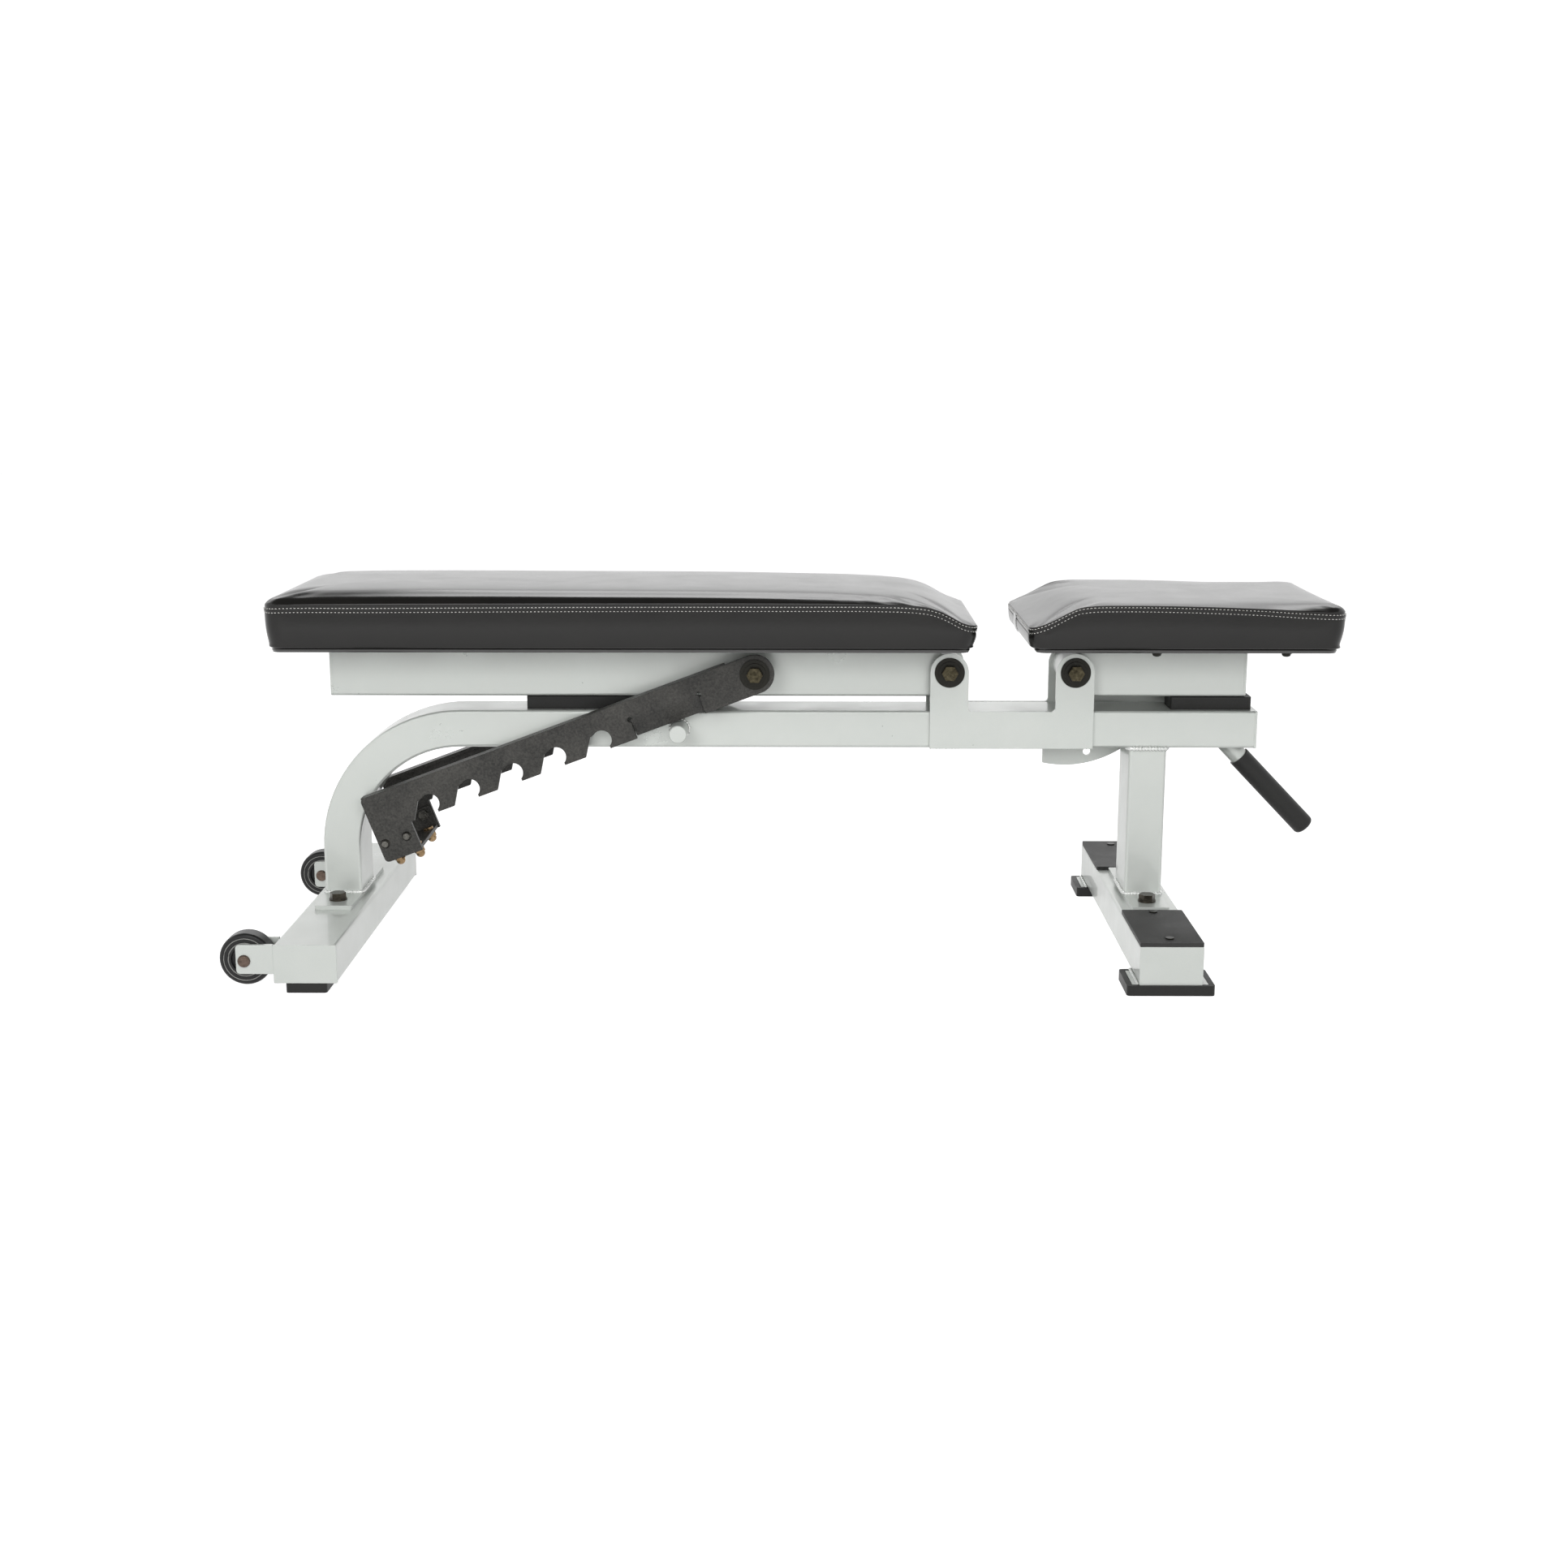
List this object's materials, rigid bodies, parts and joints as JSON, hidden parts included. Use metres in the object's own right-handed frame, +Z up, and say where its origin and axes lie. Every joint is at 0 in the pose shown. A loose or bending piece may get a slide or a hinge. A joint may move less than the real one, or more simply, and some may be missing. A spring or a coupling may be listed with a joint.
{
  "type": "adjustable weight bench",
  "caption": "Adjustable weight bench: padded backrest raised on a notched ladder, padded seat tilted on a pull-pin quadrant, steel beam stand with transport wheels and a lifting handle.",
  "frame": {"origin": "on the floor, under the middle of the whole bench at rest", "axes": "+X from the head end to the seat end, +Y across the bench, +Z up"},
  "size_m": [1.4349, 0.549, 0.486],
  "materials": {
    "frame_paint": "satin light silver grey powder coat",
    "ladder_paint": "charcoal wrinkle powder coat",
    "bronze_steel": "dark bronze plated fasteners",
    "brass_nuts": "satin",
    "black_washer": "black oxide",
    "bright_steel": "satin zinc plated",
    "black_rubber": "satin moulded rubber",
    "wheel_tyre": "satin",
    "black_plastic": "fine moulded texture",
    "nylon": "plain nylon bush",
    "pad_vinyl": "fine grained black vinyl with light grey stitching",
    "pad_board": "plywood board with a gloss black edge"
  },
  "bodies": {
    "stand": {"main_beam": "frame_paint", "tube_end_plates": "frame_paint", "support_pin": "bright_steel", "front_post": "frame_paint", "rear_base_plate": "frame_paint", "front_base_plate": "frame_paint", "rear_foot_tube": "frame_paint", "front_foot_tube": "frame_paint", "shoe_flanges": "frame_paint", "base_bolts": "bronze_steel", "rear_rubber_feet": "black_rubber", "front_rubber_shoes": "black_rubber", "foot_grip_plates": "black_plastic", "grip_plate_screws": "black_washer", "wheel_brackets": "frame_paint", "wheel_axle_bolts": "bronze_steel", "lift_handle_tube": "frame_paint", "lift_handle_grip": "black_rubber", "back_bumper": "black_rubber", "seat_bumper": "black_rubber", "bumper_screws": "black_washer", "left_hinge_bracket": "frame_paint", "right_hinge_bracket": "frame_paint", "hinge_bolts": "bronze_steel", "hinge_washers": "black_washer", "hinge_nuts": "bronze_steel", "lock_pin_bracket": "frame_paint", "lock_pin_housing": "bright_steel", "lock_pin_spring": "bright_steel"},
    "left_wheel": {"left_wheel_hub": "black_plastic", "left_wheel_tyre": "wheel_tyre"},
    "right_wheel": {"right_wheel_hub": "black_plastic", "right_wheel_tyre": "wheel_tyre"},
    "backrest": {"back_frame_tube": "frame_paint", "back_frame_end_cap": "frame_paint", "back_pivot_sleeve": "frame_paint", "back_pivot_bushes": "nylon", "ladder_pivot_sleeve": "frame_paint", "ladder_pivot_bushes": "nylon", "back_pad_board": "pad_board", "back_pad_cushion": "pad_vinyl", "back_pad_bolts": "black_washer"},
    "ladder": {"right_ladder_plate": "ladder_paint", "left_ladder_plate": "ladder_paint", "ladder_cross_channel": "ladder_paint", "ladder_tab_bolts": "bronze_steel", "ladder_dome_bolts": "brass_nuts", "ladder_pivot_bolt": "bronze_steel", "ladder_pivot_washers": "black_washer", "ladder_pivot_nut": "bronze_steel"},
    "seat": {"seat_frame_tube": "frame_paint", "seat_frame_end_cap": "frame_paint", "seat_pivot_sleeve": "frame_paint", "seat_pivot_bushes": "nylon", "seat_pad_board": "pad_board", "seat_pad_cushion": "pad_vinyl", "seat_pad_bolts": "black_washer", "seat_quadrant_plate": "frame_paint"},
    "lock_pin": {"lock_pin_plunger": "bright_steel", "lock_pin_knob": "black_plastic"}
  },
  "joints": [
    {"name": "back_hinge", "type": "hinge", "parent": "stand", "child": "backrest", "pos_m": [0.215, 0, 0.375], "axis": [0, 1, 0], "range_deg": [0, 83]},
    {"name": "ladder_hinge", "type": "hinge", "parent": "backrest", "child": "ladder", "pos_m": [-0.044, 0, 0.376], "axis": [0, 1, 0], "range_deg": [-103.5, 0]},
    {"name": "seat_hinge", "type": "hinge", "parent": "stand", "child": "seat", "pos_m": [0.3825, 0, 0.375], "axis": [0, -1, 0], "range_deg": [0, 15]},
    {"name": "lock_pin_slide", "type": "slide", "parent": "stand", "child": "lock_pin", "axis": [0, -1, 0], "range_m": [0, 0.01]},
    {"name": "left_wheel_spin", "type": "hinge", "parent": "stand", "child": "left_wheel", "pos_m": [-0.6842, 0.175, 0.042], "axis": [0, 1, 0], "continuous": true},
    {"name": "right_wheel_spin", "type": "hinge", "parent": "stand", "child": "right_wheel", "pos_m": [-0.6842, -0.251, 0.042], "axis": [0, 1, 0], "continuous": true}
  ],
  "couplings": [
    {"joint": "ladder_hinge", "follows": "back_hinge", "ratio": -1.242}
  ]
}
